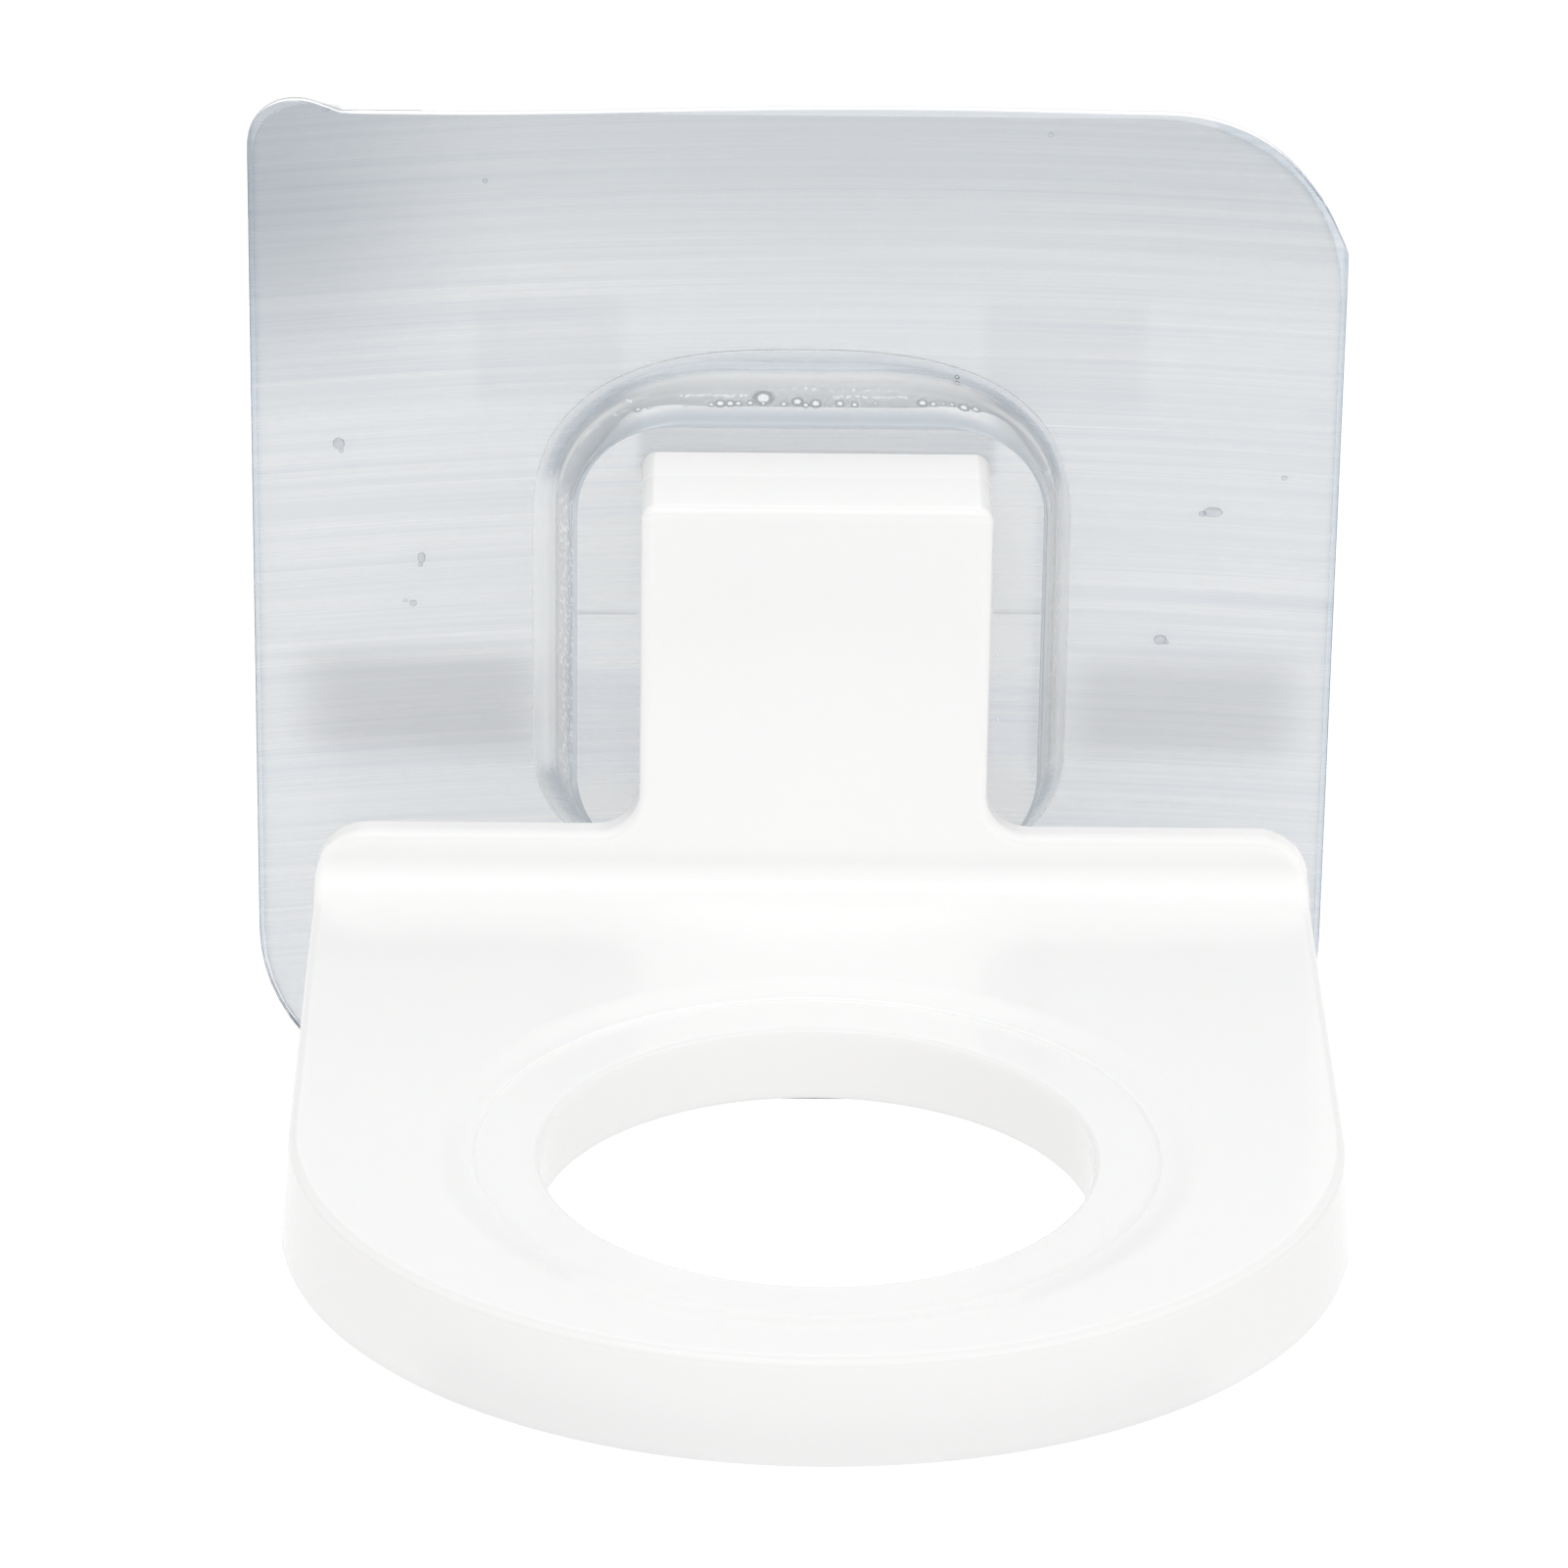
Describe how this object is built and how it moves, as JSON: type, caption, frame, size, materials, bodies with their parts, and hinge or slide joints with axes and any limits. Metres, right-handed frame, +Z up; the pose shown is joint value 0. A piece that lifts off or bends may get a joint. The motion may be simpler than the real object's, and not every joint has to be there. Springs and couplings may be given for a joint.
{
  "type": "wall-mounted bottle holder",
  "caption": "Wall-mounted holder for an upside-down or necked bottle: a white ring shelf with a dished seat, carried by a tongue moulded into a clear self-adhesive pad",
  "frame": {"origin": "centre of the adhesive layer's wall face", "axes": "+Y towards the wall, -Y out towards the user, +Z up, +X to the right as seen from the user"},
  "size_m": [0.085, 0.0925, 0.0856],
  "materials": {
    "white_plastic": "smooth glossy white moulding",
    "clear_plastic": "clear moulded block with small trapped bubbles",
    "brushed_film": "clear film with fine brushed lines across it",
    "clear_adhesive": "clear soft adhesive film"
  },
  "bodies": {
    "root": {"holder": "white_plastic", "boss": "clear_plastic", "facing_sheet": "brushed_film", "adhesive_layer": "clear_adhesive"}
  },
  "joints": []
}
